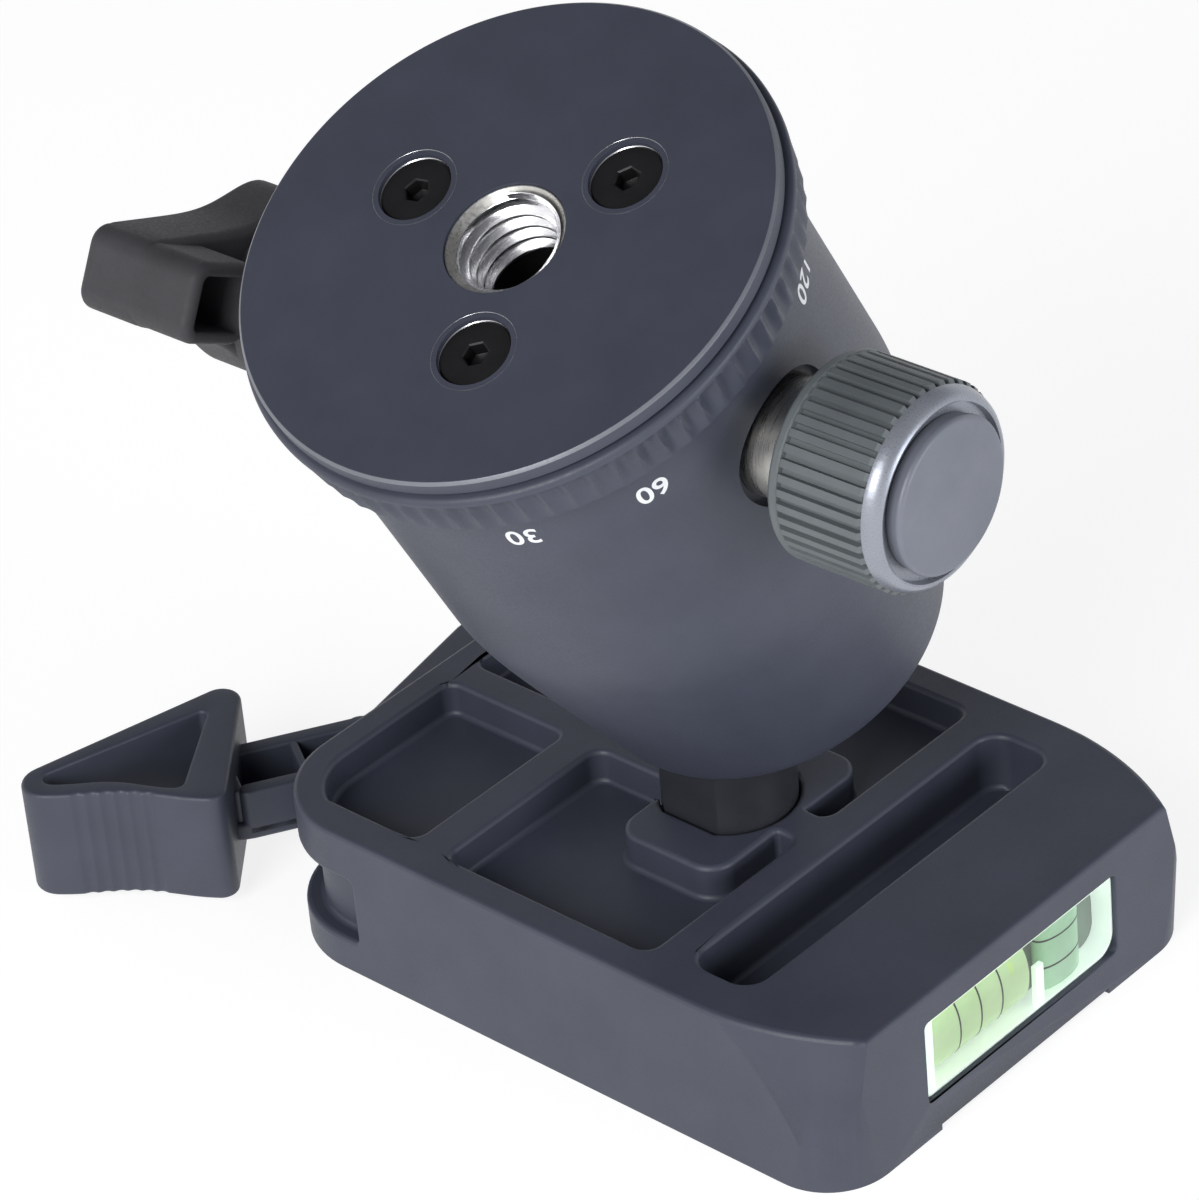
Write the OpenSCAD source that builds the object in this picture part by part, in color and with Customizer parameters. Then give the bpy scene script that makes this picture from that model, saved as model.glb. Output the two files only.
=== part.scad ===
// Tripod ball head, standing upside down on its quick-release clamp.
// Millimetres, +Z up. The origin is on the stem's axis, in the plane that a camera plate seats against.
// +X runs along the clamp to the end that holds the level; the head leans towards -Y.

/* [Pose] */
// Lean of the head away from the stem's axis
head_tilt = 27.5; // [0:0.1:28.2]
// Turn of the leaning direction about the stem's axis
head_swivel = -0.7; // [-180:0.1:180]
// Turn of the head about its own axis
head_spin = 1.8; // [-180:0.1:180]

/* [Tripod base] */
// Diameter of the face that sits on the tripod
base_d = 48.6; // [46:0.2:60]
// Distance from the ball's centre to that face
base_h = 46.3; // [44:0.1:56]
// Thickness of the base plate
base_t = 6.8; // [6:0.2:9]
// Diameter over the fluted ring
ring_d = 49.8; // [47:0.2:62]
// Number of flutes round the ring
flute_count = 72; // [36:1:90]
// Major diameter of the 3/8 inch tripod thread
thread_d = 9.525; // [9.525]
// Length of the tripod thread
thread_len = 12; // [9:0.5:12.5]
// Radius of the circle that the base screws lie on
screw_circle_r = 11.3; // [10:0.1:12]

/* [Housing and ball] */
// Diameter of the ball
ball_d = 30; // [28:0.5:31]
// Height of the ball's centre over the plate seat
ball_z = 35.5; // [34:0.5:42]
// Diameter of the housing's straight part
housing_d = 44.5; // [43:0.1:52]
// Diameter of the housing where it meets the fluted ring
collar_d = 45.2; // [44:0.2:56]
// Distance from the ball's centre to the housing's open end
mouth_h = 13.5; // [12.5:0.1:14]
// Diameter of the stem
stem_d = 12.6; // [10:0.2:12.8]
// Width across the stem's two flats
stem_flats = 11; // [9:0.2:11.4]

/* [Clamp] */
// Length from the stem's axis to the face that holds the level
nose_len = 33.6; // [33:0.2:40]
// Length from the stem's axis to the lever's end
tail_len = 36.3; // [35.5:0.2:44]
// Width over the two long sides
clamp_w = 52; // [50:0.5:62]
// Width of the deck at the level's end
nose_w = 42.4; // [40:0.2:48]
// Thickness of the deck over the plate seat
deck_t = 7.5; // [7:0.1:10]
// Depth of the plate seat below the deck
seat_depth = 8.1; // [7:0.1:10]
// Depth of the lightening pockets in the deck
pocket_depth = 3.5; // [2:0.1:4]
// Width of the long slot across the deck
slot_w = 7.2; // [4:0.2:7.2]

/* [Lever] */
// Thickness of the lever's arm
arm_t = 5.5; // [4:0.1:6]
// Width of the lever's arm
arm_w = 8.3; // [6:0.1:9]
// Height of the lever's grip
grip_h = 11.7; // [9:0.1:12]
// Number of grooves in the grip
groove_count = 7; // [3:1:9]

/* [Knobs] */
// Diameter of the friction knob
friction_d = 18.4; // [14:0.2:20]
// Length of the friction knob's barrel
friction_len = 11.2; // [9:0.2:16]
// Number of grooves round the friction knob
knurl_count = 44; // [24:1:60]
// Width over the locking knob's two wings
wing_span = 39.4; // [34:0.5:46]
// Turn of the locking knob about its shaft
wing_turn = 126; // [0:1:360]

/* [Hidden] */
$fn = 96;
eps = 0.01;                     // cuts run past a face by this much
play = 0.05;                    // running clearance of a shaft, on the radius
gap = 0.3;                      // clearance between curved faces that move past each other
body_colour = [0.27, 0.28, 0.31];
steel = [0.72, 0.72, 0.7];
dark_steel = [0.16, 0.16, 0.17];
brass = [0.72, 0.58, 0.3];
nylon = [0.9, 0.89, 0.84];
rubber = [0.09, 0.09, 0.1];
acrylic = [0.86, 0.93, 0.9, 0.4];
vial_green = [0.6, 0.85, 0.35, 0.7];

// Head levels, measured along its own axis from the ball's centre
ball_r = ball_d / 2;
plate_low = base_h - base_t;            // underside of the base plate
collar_top = plate_low - 0.7;           // upper end of the housing
rim_t = 1.8;                            // thin rim of the base plate, over the fluted ring
land_r = base_d / 2 - 2.4;              // land of the base plate that carries the ring
ledge_t = 2.8;                          // bearing ring's thickness
neck_r = 14.9;                          // spindle's neck
flange_r = 17.8;                        // spindle's flange
flange_t = 2.9;
bore_r = 18.2;                          // housing's upper bore
lower_bore_r = ball_r + 0.9;            // housing's bore round the ball
step_h = 14;                            // where the two bores meet
ledge_low = collar_top - ledge_t;
flange_top = ledge_low - 0.4;
flange_low = flange_top - flange_t;
lock_h = 19.6;                          // height of the locking knob's shaft
friction_h = 27.5;                      // height of the friction knob's shaft
ring_seat = 7.5;                        // the seat ring's shoulder, towards the open end

// Clamp
rim = 3.4;                              // wall round the deck's pockets
tail_rim = 3;
tail_r = 10;                            // rounded corners at the lever's end
side_end = 17;                          // the long sides start to curve in here
nose_lean = 14;                         // the curved sides lean in by this angle up to the deck
nose_round = 4;                         // corners beside the level's face, under the deck
corner_lean = 6;                        // and the angle that carries them out of the deck's corners
curve_x = nose_len - side_end;
curve_y = (clamp_w - nose_w) / 2;
side_r = (curve_x * curve_x + curve_y * curve_y) / (2 * curve_y);
floor_z = deck_t - pocket_depth;
seat_x0 = -23;
seat_x1 = 19;
seat_y = clamp_w / 2 - 3.5;
bay_z0 = -4.5;                          // the lever's bay, between deck and lip
bay_z1 = 2.5;
stem_seat = deck_t - 1.2;
pivot = [-30, 15];                      // the lever's pin
hub_r = 8.5;
bay_r = 11.5;
pin_r = 2.5;
arm_z = bay_z1 - 0.5;                   // top of the lever's arm
grip_z = 5;                             // top of the lever's grip
level_x = 22.4;                         // back of the level's cavity
level_w = 27;
level_z0 = -4.2;
level_z1 = 4.4;
vial_r = 3;
trigger = [-16.7, 6];
trigger_travel = 1.5;

// Deck: ribs, boss and slot
rib_t = 3.6;                            // middle rib
cross_rib_t = 4.1;                      // rib between the pockets
pocket_split = -14.6;                   // rib between the two pockets ends here
rib_x0 = 9.8;                           // rib beside the long slot
rib_x1 = nose_len - 13 - slot_w;
slot_y = clamp_w / 2 - 4.6;
slot_depth = 6;
boss_x0 = -5;
boss_x1 = 7.2;
boss_y = 10.5;
boss_round = 2.6;
neck_y = 2;
bay_y = -13;                            // near end of the lever's bay
groove_x1 = -24;
groove_t = 1.8;
relief_y = 12;

// Level
vial_z = 0.1;
long_vial_x = 29.4;
long_vial_y0 = -12.8;
long_vial_len = 14.6;
cross_vial_z0 = -3.5;
cross_vial_y = 6.9;
cross_vial_len = 7.1;

// Stem and its screw
flats_top = 19;
ball_flat = sqrt(ball_r * ball_r - stem_d * stem_d / 4);
stem_top = ball_z - ball_flat - 0.1;
spigot_r = 4;
spigot_top = ball_z + 2;
screw_r = 3;
head_r = 6;
head_z = 0.3;
screw_top = 20;

// Jaw and trigger
jaw_y = 18;
jaw_t = 2.6;
jaw_screw_y = 12;
jaw_screw_z = -5.85;
jaw_screw_r = 1.1;
jaw_screw_len = 7;
jaw_head_r = 1.2;
jaw_head_seat = 1.2;
jaw_head_t = 1.1;
trigger_r = 1.6;
trigger_flange_r = 2.4;
trigger_lip = 0.8;
spring_top = 6.2;

// Lever, in plan: the arm leaves the hub for the grip beyond the near corner
arm_root = [-37.6, -5.8];
arm_end = [-45.6, -18.6];
ear = [-41.8, 11.5];
ear_r = 3.2;
cam = [-23.4, 12.5];
cam_r = 3.6;
grip_tip = [-56, -33.1];
grip_back = [-52, -14.2];
grip_front = [-42.4, -25.3];
hole_tip = [-56, -32.6];
hole_back = [-51.8, -17.4];
hole_front = [-46.2, -25.6];
channel_w = 5;
channel_bays = [[-0.6, 5.6], [6.2, 5]];         // start and length of each, from the arm's end
hub_recess_r = 4.4;
hub_recess_z = -0.9;
pin_top = 6;
pin_head_r = 4;
pin_head_z = -6.2;
spring_wire = 0.5;
bow_r = 60;
bow_depth = 0.6;
groove_step = 1.9;
groove_r = 0.55;
face_off = 2.1;

// Seats and housing
ring_top = -1.5;
lip_r = 12.9;
lip_h = -8.6;
lip_round = 0.8;
mouth_r = 14.8;
cup_r = ball_r + 1.8;
cup_low = 6.5;
cup_boss_r = 5;
cup_top = ball_r + 2.4;
wedge_r = 6.5;
wedge_top = 23.3;
cap_low = wedge_top + 1.4;
cap_top = 30.2;
ledge_r = 20;
flare_h = 27;
taper_h = 12;
taper = 0.2235;
taper_soft = 4;

// Knobs and their shafts
stud_r = 3;
lock_bush_r = 5;
friction_bush_r = 5.2;
bush_out = 22.6;
tip_in = 4.6;
stud_out = 41.4;
wing_out = 46.8;
wing_t = 7;
skirt_t = 10.6;
skirt_len = 8.5;
wing_hub_r = 9;
wing_flare_r = 34;                      // hollow sides of the wings, in plan
tip_t = 6.8;
tip_round = 1.3;
knob_hub_r = 8;
hub_in = 26;
core_r = 5.2;
shaft_r = 3.1;
collar_r = 5;
collar_in = 22.9;
friction_tip_in = 4.8;
friction_in = 26.9;
cap_r = 7.1;

// Base
boss_r = 5.5;
base_screw_r = 1.5;
base_screw_len = 5.5;
base_screw_turn = 52;
sink_r = 3.35;                          // countersink in the base plate
sink_h = base_h - 0.6;                  // where the countersink's cone ends
flute_r = 1.35;
flute_t = 0.5;
ring_lip = 0.9;                         // smooth lip over the flutes

// ---- Helpers ----

// Places what follows in the head's own frame: +Z towards the base, -X to the locking knob
module in_head() {
    translate([0, 0, ball_z])
        rotate([0, 0, head_swivel])
            rotate([head_tilt, 0, 0])
                rotate([0, 0, head_spin])
                    children();
}

// Turns a solid made along +Z so that it lies along +X
module along_x() {
    rotate([0, 90, 0])
        children();
}

// Turns a solid made along +Z so that it lies along -X
module along_minus_x() {
    rotate([0, -90, 0])
        children();
}

module tube(outer_r, inner_r, low, high) {
    translate([0, 0, low])
        difference() {
            cylinder(r = outer_r, h = high - low);
            translate([0, 0, -eps])
                cylinder(r = inner_r, h = high - low + 2 * eps);
        }
}

module rod(r, low, high) {
    translate([0, 0, low])
        cylinder(r = r, h = high - low);
}

// Hexagonal bar, measured across its flats
module hex_rod(flats, high) {
    cylinder(d = flats * 2 / sqrt(3), h = high, $fn = 6);
}

module cone(r_low, r_high, low, high) {
    translate([0, 0, low])
        cylinder(r1 = r_low, r2 = r_high, h = high - low);
}

module slab(low, high) {
    translate([0, 0, low])
        linear_extrude(high - low)
            children();
}

// Rectangle between two corners, with its corners rounded by r
module rounded_rect(from, to, r) {
    difference() {
        translate(from)
            square(to - from);
        for (sx = [0, 1], sy = [0, 1]) {
            corner = [sx == 0 ? from[0] : to[0], sy == 0 ? from[1] : to[1]];
            inward = [sx == 0 ? 1 : -1, sy == 0 ? 1 : -1];
            translate(corner)
                difference() {
                    square(2 * r - 2 * eps, center = true);
                    translate(inward * r)
                        circle(r = r, $fn = 48);
                }
        }
    }
}

// ---- Clamp ----

// Nose end of the clamp: two side arcs that close in on the level's face
module nose_outline(inset) {
    intersection() {
        translate([side_end - eps, -clamp_w / 2])
            square([nose_len - side_end - inset + eps, clamp_w]);
        translate([side_end, side_r - clamp_w / 2])
            circle(r = side_r - inset, $fn = 240);
        translate([side_end, clamp_w / 2 - side_r])
            circle(r = side_r - inset, $fn = 240);
    }
}

// Outline of the clamp, drawn in by inset
module clamp_outline(inset = 0) {
    half = clamp_w / 2;
    translate([tail_r - tail_len, inset - half])
        square([side_end + tail_len - tail_r, clamp_w - 2 * inset]);
    translate([inset - tail_len, tail_r - half])
        square([tail_len, clamp_w - 2 * tail_r]);
    for (side = [-1, 1])
        translate([tail_r - tail_len, side * (half - tail_r)])
            circle(r = tail_r - inset);
    nose_outline(inset);
}

// Boss that the stem stands on, with the neck that ties it to the slot's rib
module boss_outline() {
    rounded_rect([boss_x0, -boss_y], [boss_x1, boss_y], boss_round);
    translate([boss_x1 - 1, -neck_y])
        square([rib_x0 - boss_x1 + 2, 2 * neck_y]);
}

// Pockets that lighten the deck, on one side of the middle rib
module pocket_outlines() {
    half = clamp_w / 2;
    intersection() {
        rounded_rect([tail_rim - tail_len, rim + 0.4 - half], [pocket_split - cross_rib_t, -rib_t / 2], 1.4);
        clamp_outline(tail_rim);
    }
    difference() {
        rounded_rect([pocket_split, rim - half], [rib_x0, -rib_t / 2], 1.6);
        boss_outline();
    }
}

module deck_pockets() {
    slab(floor_z, deck_t + 1)
        pocket_outlines();
    slab(floor_z, deck_t + 1)
        mirror([0, 1, 0])
            pocket_outlines();
    slab(deck_t - slot_depth, deck_t + 1)
        rounded_rect([rib_x1, -slot_y], [rib_x1 + slot_w, slot_y], 2.4);
}

// Space under the deck that the lever swings in
module lever_bay() {
    slab(bay_z0, bay_z1) {
        translate(pivot)
            circle(r = bay_r);
        translate([-tail_len - 5, bay_y])
            square([tail_len + 5 + seat_x0 - 3, clamp_w]);
        translate([-tail_len - 5, pivot[1]])
            square([tail_len + 5 + pivot[0] + 4, clamp_w]);
    }
}

// Shallow groove that runs round the near corner, level with the lever's arm
module corner_groove() {
    slab(bay_z0, bay_z1)
        difference() {
            translate([-tail_len - 5, -clamp_w])
                square([tail_len + 5 + groove_x1, clamp_w + bay_y + 1]);
            clamp_outline(groove_t);
        }
}

// Straight-sided hole for the stem's foot, with its two flats
module foot_outline(extra = 0) {
    intersection() {
        circle(r = stem_d / 2 + extra);
        square([stem_d + 2, stem_flats + 2 * extra], center = true);
    }
}

// Nose end under the curves of the deck: its sides lean out to the full width and its corners are rounded
module nose_body() {
    low = -seat_depth;
    difference() {
        slab(low, deck_t)
            translate([side_end - eps, -clamp_w / 2])
                square([nose_len - side_end + eps, clamp_w]);
        for (flip = [0, 1])
            mirror([0, flip, 0]) {
                // Curved side: all that lies outside a round column that leans outwards below the deck
                difference() {
                    slab(low - 1, deck_t + 1)
                        translate([side_end, -clamp_w])
                            square([nose_len, clamp_w]);
                    translate([side_end, side_r / cos(nose_lean) - clamp_w / 2, deck_t])
                        rotate([-nose_lean, 0, 0])
                            rod(side_r, -side_r, side_r);
                }
                // Rounded corner, which leans outwards above the plate side
                translate([nose_len, -clamp_w / 2, low])
                    rotate(corner_lean, [1, 1, 0])
                        slab(-2, deck_t + seat_depth + 4)
                            difference() {
                                translate([-nose_round, -2])
                                    square([nose_round + 2, nose_round + 2]);
                                translate([-nose_round, nose_round])
                                    circle(r = nose_round);
                            }
            }
    }
}

// Outline of the clamp behind its nose
module rear_outline() {
    intersection() {
        clamp_outline();
        translate([-tail_len - 1, -clamp_w])
            square([tail_len + 1 + side_end, 2 * clamp_w]);
    }
}

module platform() {
    color(body_colour)
        difference() {
            union() {
                difference() {
                    union() {
                        slab(-seat_depth, deck_t)
                            rear_outline();
                        nose_body();
                    }
                    deck_pockets();
                    lever_bay();
                    corner_groove();
                }
                // Post in the deck's hidden pocket that holds the lever's pin
                translate(pivot)
                    rod(pin_r + 2, bay_z1, pin_top + 0.8);
            }
            // Plate seat
            slab(-seat_depth - 1, 0)
                rounded_rect([seat_x0, -seat_y], [seat_x1, seat_y], 2);
            // Stem's foot and its screw
            slab(stem_seat, deck_t + 1)
                foot_outline(0.15);
            rod(screw_r + 0.1, -1, deck_t);
            cone(head_r + 0.45, screw_r, -0.1, head_r - screw_r + 0.35);
            // Level
            slab(level_z0, level_z1)
                translate([level_x, -level_w / 2])
                    square([nose_len, level_w]);
            // Shallow relief along the bottom of the level's face
            slab(-seat_depth - 1, 0.6 - seat_depth)
                translate([seat_x1 + 4, -relief_y])
                    square([nose_len, 2 * relief_y]);
            // Lever's pin
            translate(pivot) {
                rod(pin_r, -seat_depth - 1, pin_top);
                rod(pin_head_r, -seat_depth - 1, pin_head_z);
            }
            // Trigger
            translate(trigger) {
                rod(trigger_r + play, -1, trigger_lip + 0.1);
                rod(trigger_flange_r + play, trigger_lip, spring_top);
            }
            // Jaw screws
            for (side = [-1, 1])
                translate([seat_x1, side * jaw_screw_y, jaw_screw_z])
                    along_x()
                        rod(jaw_screw_r, -1, jaw_screw_len);
        }
}

module level_block() {
    color(acrylic)
        difference() {
            translate([level_x + 0.1, -level_w / 2 + 0.1, level_z0 + 0.1])
                cube([nose_len - level_x - 0.4, level_w - 0.2, level_z1 - level_z0 - 0.2]);
            translate([long_vial_x, long_vial_y0, vial_z])
                rotate([-90, 0, 0])
                    rod(vial_r, -2, long_vial_len);
            translate([long_vial_x, cross_vial_y, cross_vial_z0])
                rod(vial_r, -2, cross_vial_len);
        }
}

module long_vial() {
    color(vial_green)
        translate([long_vial_x, long_vial_y0, vial_z])
            rotate([-90, 0, 0])
                rod(vial_r - 0.05, 0.05, long_vial_len - 0.05);
}

module cross_vial() {
    color(vial_green)
        translate([long_vial_x, cross_vial_y, cross_vial_z0])
            rod(vial_r - 0.05, 0.05, cross_vial_len - 0.05);
}

// Undercut rail that holds one edge of a camera plate
module fixed_jaw() {
    color(steel)
        difference() {
            translate([0, jaw_y, 0])
                rotate([90, 0, 0])
                    linear_extrude(2 * jaw_y)
                        polygon([
                            [seat_x1, -seat_depth + 0.6],
                            [seat_x1 - jaw_t, -seat_depth + 0.6],
                            [seat_x1 - jaw_t, -seat_depth + 1.6],
                            [seat_x1 - 0.8, -1.6],
                            [seat_x1, -1.6]
                        ]);
            for (side = [-1, 1])
                translate([seat_x1, side * jaw_screw_y, jaw_screw_z])
                    along_x() {
                        rod(jaw_screw_r + 0.1, -jaw_t - 1, 1);
                        rod(jaw_head_r + 0.1, -jaw_t - 1, -jaw_head_seat);
                    }
        }
}

module jaw_screws() {
    color(dark_steel)
        for (side = [-1, 1])
            translate([seat_x1, side * jaw_screw_y, jaw_screw_z])
                along_x()
                    difference() {
                        union() {
                            rod(jaw_screw_r, -jaw_head_seat - 0.5, jaw_screw_len - 0.5);
                            rod(jaw_head_r, -jaw_head_seat - jaw_head_t, -jaw_head_seat);
                        }
                        translate([0, 0, -jaw_head_seat - jaw_head_t - eps])
                            hex_rod(1.5, 0.8);
                    }
}

module stem() {
    color(dark_steel)
        difference() {
            union() {
                slab(stem_seat + 0.02, flats_top)
                    foot_outline();
                rod(stem_d / 2, flats_top - eps, stem_top);
                rod(spigot_r, stem_top - eps, spigot_top);
            }
            rod(screw_r, 0, screw_top + 1);
        }
}

module stem_screw() {
    color(dark_steel)
        difference() {
            union() {
                cone(head_r, screw_r, head_z, head_z + head_r - screw_r);
                rod(screw_r, head_z + head_r - screw_r - eps, screw_top);
            }
            translate([0, 0, head_z - eps])
                hex_rod(4, 2.4);
        }
}

// ---- Lever ----

// Arm, hub and cam in plan
module lever_outline() {
    hull() {
        translate(pivot)
            circle(r = hub_r, $fn = 64);
        translate(arm_root)
            circle(r = arm_w / 2, $fn = 48);
        translate(ear)
            circle(r = ear_r, $fn = 48);
    }
    hull() {
        translate(arm_root)
            circle(r = arm_w / 2, $fn = 48);
        translate(arm_end)
            circle(r = arm_w / 2, $fn = 48);
    }
    hull() {
        translate(pivot)
            circle(r = 6, $fn = 48);
        translate(cam)
            circle(r = cam_r, $fn = 48);
    }
}

// Loop-shaped grip in plan
module grip_outline() {
    hull() {
        translate(grip_tip)
            circle(r = 2.6, $fn = 48);
        translate(grip_back)
            circle(r = 2, $fn = 48);
        translate(grip_front)
            circle(r = 1.6, $fn = 48);
    }
}

module grip_hole() {
    hull() {
        translate(hole_tip)
            circle(r = 0.9, $fn = 48);
        translate(hole_back)
            circle(r = 0.5, $fn = 48);
        translate(hole_front)
            circle(r = 0.6, $fn = 48);
    }
}

module lever() {
    face_dir = atan2(grip_front[1] - grip_tip[1], grip_front[0] - grip_tip[0]);
    face_len = norm(grip_front - grip_tip);
    color(body_colour)
        difference() {
            union() {
                slab(arm_z - arm_t, arm_z)
                    lever_outline();
                slab(grip_z - grip_h, grip_z)
                    grip_outline();
            }
            // Loop's opening
            slab(grip_z - grip_h - 1, grip_z + 1)
                grip_hole();
            // Channel in the arm's top, with one cross rib
            for (bay = channel_bays)
                slab(arm_z - 3.6, arm_z + 1)
                    translate(arm_end)
                        rotate(atan2(arm_root[1] - arm_end[1], arm_root[0] - arm_end[0]))
                            translate([bay[0], -channel_w / 2])
                                square([bay[1], channel_w]);
            // Pin's bore and the spring's recess
            translate(pivot) {
                rod(pin_r + play, -seat_depth, deck_t);
                rod(hub_recess_r, -seat_depth, hub_recess_z);
            }
            // Hollow in the grip's ribbed face, and the grooves between its ribs
            slab(grip_z - grip_h - 1, grip_z + 1)
                translate((grip_tip + grip_front) / 2)
                    rotate(face_dir) {
                        translate([0, -face_off - bow_r + bow_depth])
                            circle(r = bow_r, $fn = 240);
                        for (i = [0 : groove_count - 1])
                            translate([(i - (groove_count - 1) / 2) * groove_step, bow_depth - face_off])
                                circle(r = groove_r, $fn = 24);
                    }
        }
}

module lever_pin() {
    color(steel)
        translate(pivot) {
            rod(pin_r, pin_head_z - eps, pin_top - 0.1);
            rod(pin_head_r - 0.1, -seat_depth + 0.3, pin_head_z);
        }
}

// Wound wire that swings the lever shut, hidden in the hub
module lever_spring() {
    color(steel)
        translate([pivot[0], pivot[1], bay_z0 + spring_wire])
            for (i = [0 : 2])
                translate([0, 0, i * 2 * spring_wire * 0.96])
                    rotate_extrude()
                        translate([pin_r + spring_wire + gap, 0])
                            circle(r = spring_wire, $fn = 24);
}

// Pin that a camera plate pushes in as it seats
module trigger_pin() {
    color(brass)
        translate(trigger) {
            rod(trigger_r, -2, trigger_lip + 0.1);
            rod(trigger_flange_r, trigger_lip + 0.05, trigger_lip + 1.5);
        }
}

module trigger_spring() {
    color(steel)
        translate(trigger)
            tube(trigger_flange_r - 0.3, trigger_flange_r - 1, trigger_lip + 1.55, spring_top - 0.05);
}

// ---- Ball and its seats ----

module ball() {
    color(steel)
        translate([0, 0, ball_z])
            difference() {
                sphere(r = ball_r, $fn = 128);
                // Flat that the stem butts against, and the bore for its spigot
                rod(ball_r, -ball_r - 1, -ball_flat);
                rod(spigot_r + play, -ball_r, spigot_top - ball_z + 0.2);
            }
}

module seat_ring() {
    color(nylon)
        in_head()
            difference() {
                rod(lower_bore_r - 0.05, -ring_seat, ring_top);
                sphere(r = ball_r + gap, $fn = 128);
                rod(lip_r, -ring_seat - 1, 0);
            }
}

module pressure_cup() {
    color(nylon)
        in_head()
            difference() {
                union() {
                    intersection() {
                        sphere(r = cup_r, $fn = 128);
                        rod(lower_bore_r - 0.1, cup_low, cup_r);
                    }
                    rod(cup_boss_r, ball_r, cup_top);
                }
                sphere(r = ball_r + gap, $fn = 128);
            }
}

// ---- Housing ----

// Radius of the housing at a level: straight in the middle, flared up to the collar, and
// drawn in towards the open end
function housing_r(h) =
    let (straight = housing_d / 2,
        up = max(0, h - flare_h),
        down = max(0, taper_h - h))
    straight
        + (collar_d / 2 - straight) * pow(up / (collar_top - flare_h), 2)
        - taper * (sqrt(down * down + taper_soft * taper_soft) - taper_soft);

module housing_profile() {
    levels = concat(
        [for (i = [0 : 8]) collar_top - i * (collar_top - flare_h) / 8],
        [for (i = [0 : 14]) taper_h - i * (taper_h + mouth_h - lip_round) / 14]);
    polygon(concat(
        [[ledge_r, collar_top - eps], [housing_r(collar_top) - 0.4, collar_top]],
        [for (h = levels) [housing_r(h), min(h, collar_top - 0.4)]],
        [
            [housing_r(-mouth_h) - 0.5, -mouth_h],
            [mouth_r, -mouth_h],
            [lip_r, lip_h],
            [lip_r + 0.5, -ring_seat - 0.05],
            [lower_bore_r, -ring_seat - 0.05],
            [lower_bore_r, step_h],
            [bore_r, step_h],
            [bore_r, ledge_low],
            [ledge_r, ledge_low]
        ]));
}

module housing() {
    color(body_colour)
        in_head()
            difference() {
                rotate_extrude($fn = 128)
                    housing_profile();
                translate([0, 0, lock_h])
                    along_minus_x()
                        rod(lock_bush_r, bore_r - 2, base_d);
                translate([0, 0, friction_h])
                    along_x()
                        rod(friction_bush_r, bore_r - 2, base_d);
            }
}

module bearing_ring() {
    color(steel)
        in_head()
            tube(ledge_r - 0.02, neck_r + 0.15, ledge_low + 0.02, collar_top);
}

module upper_glide_washer() {
    color(nylon)
        in_head()
            tube(flange_r, neck_r + 0.2, flange_top + 0.05, ledge_low - 0.05);
}

// Slanted block that the locking screw drives down onto the pressure cup
module wedge_block() {
    color(steel)
        in_head()
            difference() {
                rod(wedge_r, cup_top + 0.1, wedge_top);
                translate([0, 0, lock_h])
                    along_minus_x()
                        lock_tip(gap);
            }
}

module disc_springs() {
    color(steel)
        in_head()
            for (i = [0, 1])
                translate([0, 0, wedge_top + 0.05 + i * 0.65])
                    difference() {
                        cone(wedge_r, 3.2, 0, 0.6);
                        rod(2.4, -1, 1);
                    }
}

module spring_cap() {
    color(brass)
        in_head()
            difference() {
                rod(wedge_r - 0.3, cap_low, cap_top);
                translate([0, 0, friction_h])
                    along_x()
                        friction_tip(gap);
            }
}

module lock_bush() {
    color(steel)
        in_head()
            translate([0, 0, lock_h])
                along_minus_x()
                    tube(lock_bush_r - 0.01, stud_r + play, bore_r - 0.6, bush_out);
}

module friction_bush() {
    color(steel)
        in_head()
            translate([0, 0, friction_h])
                along_x()
                    tube(friction_bush_r - 0.01, shaft_r + play, bore_r - 0.1, bush_out);
}

// ---- Locking knob, along its own shaft: +Z outwards, +X along one wing ----

module at_lock_knob() {
    in_head()
        translate([0, 0, lock_h])
            rotate([wing_turn, 0, 0])
                along_minus_x()
                    rotate([0, 0, 90])
                        children();
}

// Both wings in plan: wide at the hub, drawn in by hollow sides to the narrow tips
module wings_outline() {
    circle(r = wing_hub_r, $fn = 64);
    difference() {
        square([wing_span - 2 * tip_round - 2, 2 * wing_hub_r - 1.4], center = true);
        for (end = [-1, 1], side = [-1, 1])
            translate([end * wing_span / 2, side * (tip_t / 2 + wing_flare_r)])
                circle(r = wing_flare_r, $fn = 128);
    }
    for (end = [-1, 1])
        hull()
            wing_end(end);
}

// Rounded end of one wing in plan, from its tip back towards the hub
module wing_end(end, length = 3) {
    for (side = [-1, 1], back = [tip_round, length])
        translate([end * (wing_span / 2 - back), side * (tip_t / 2 - tip_round)])
            circle(r = tip_round, $fn = 24);
}

module lock_knob() {
    color(rubber)
        at_lock_knob()
            difference() {
                union() {
                    slab(wing_out - wing_t, wing_out)
                        wings_outline();
                    for (end = [-1, 1])
                        slab(wing_out - skirt_t, wing_out - 1)
                            hull()
                                wing_end(end, skirt_len);
                    rod(knob_hub_r, hub_in, wing_out - 1);
                }
                rod(core_r, hub_in - 1, wing_out - 3);
            }
}

module knob_core() {
    color(brass)
        at_lock_knob()
            tube(core_r - 0.02, stud_r + 0.02, hub_in + 0.2, wing_out - 3.1);
}

module lock_tip(extra = 0) {
    cone(1 + extra, stud_r + extra, tip_in - extra, tip_in + 5);
    rod(stud_r + extra, tip_in + 5 - eps, stud_out);
}

module lock_stud() {
    color(steel)
        in_head()
            translate([0, 0, lock_h])
                along_minus_x()
                    lock_tip();
}

// ---- Friction knob, along its own shaft: +Z outwards ----

module at_friction_knob() {
    in_head()
        translate([0, 0, friction_h])
            along_x()
                children();
}

module friction_tip(extra = 0) {
    cone(0.9 + extra, shaft_r + extra, friction_tip_in - extra, friction_tip_in + 4.5);
    rod(shaft_r + extra, friction_tip_in + 4.5 - eps, friction_in + 8);
}

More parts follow.
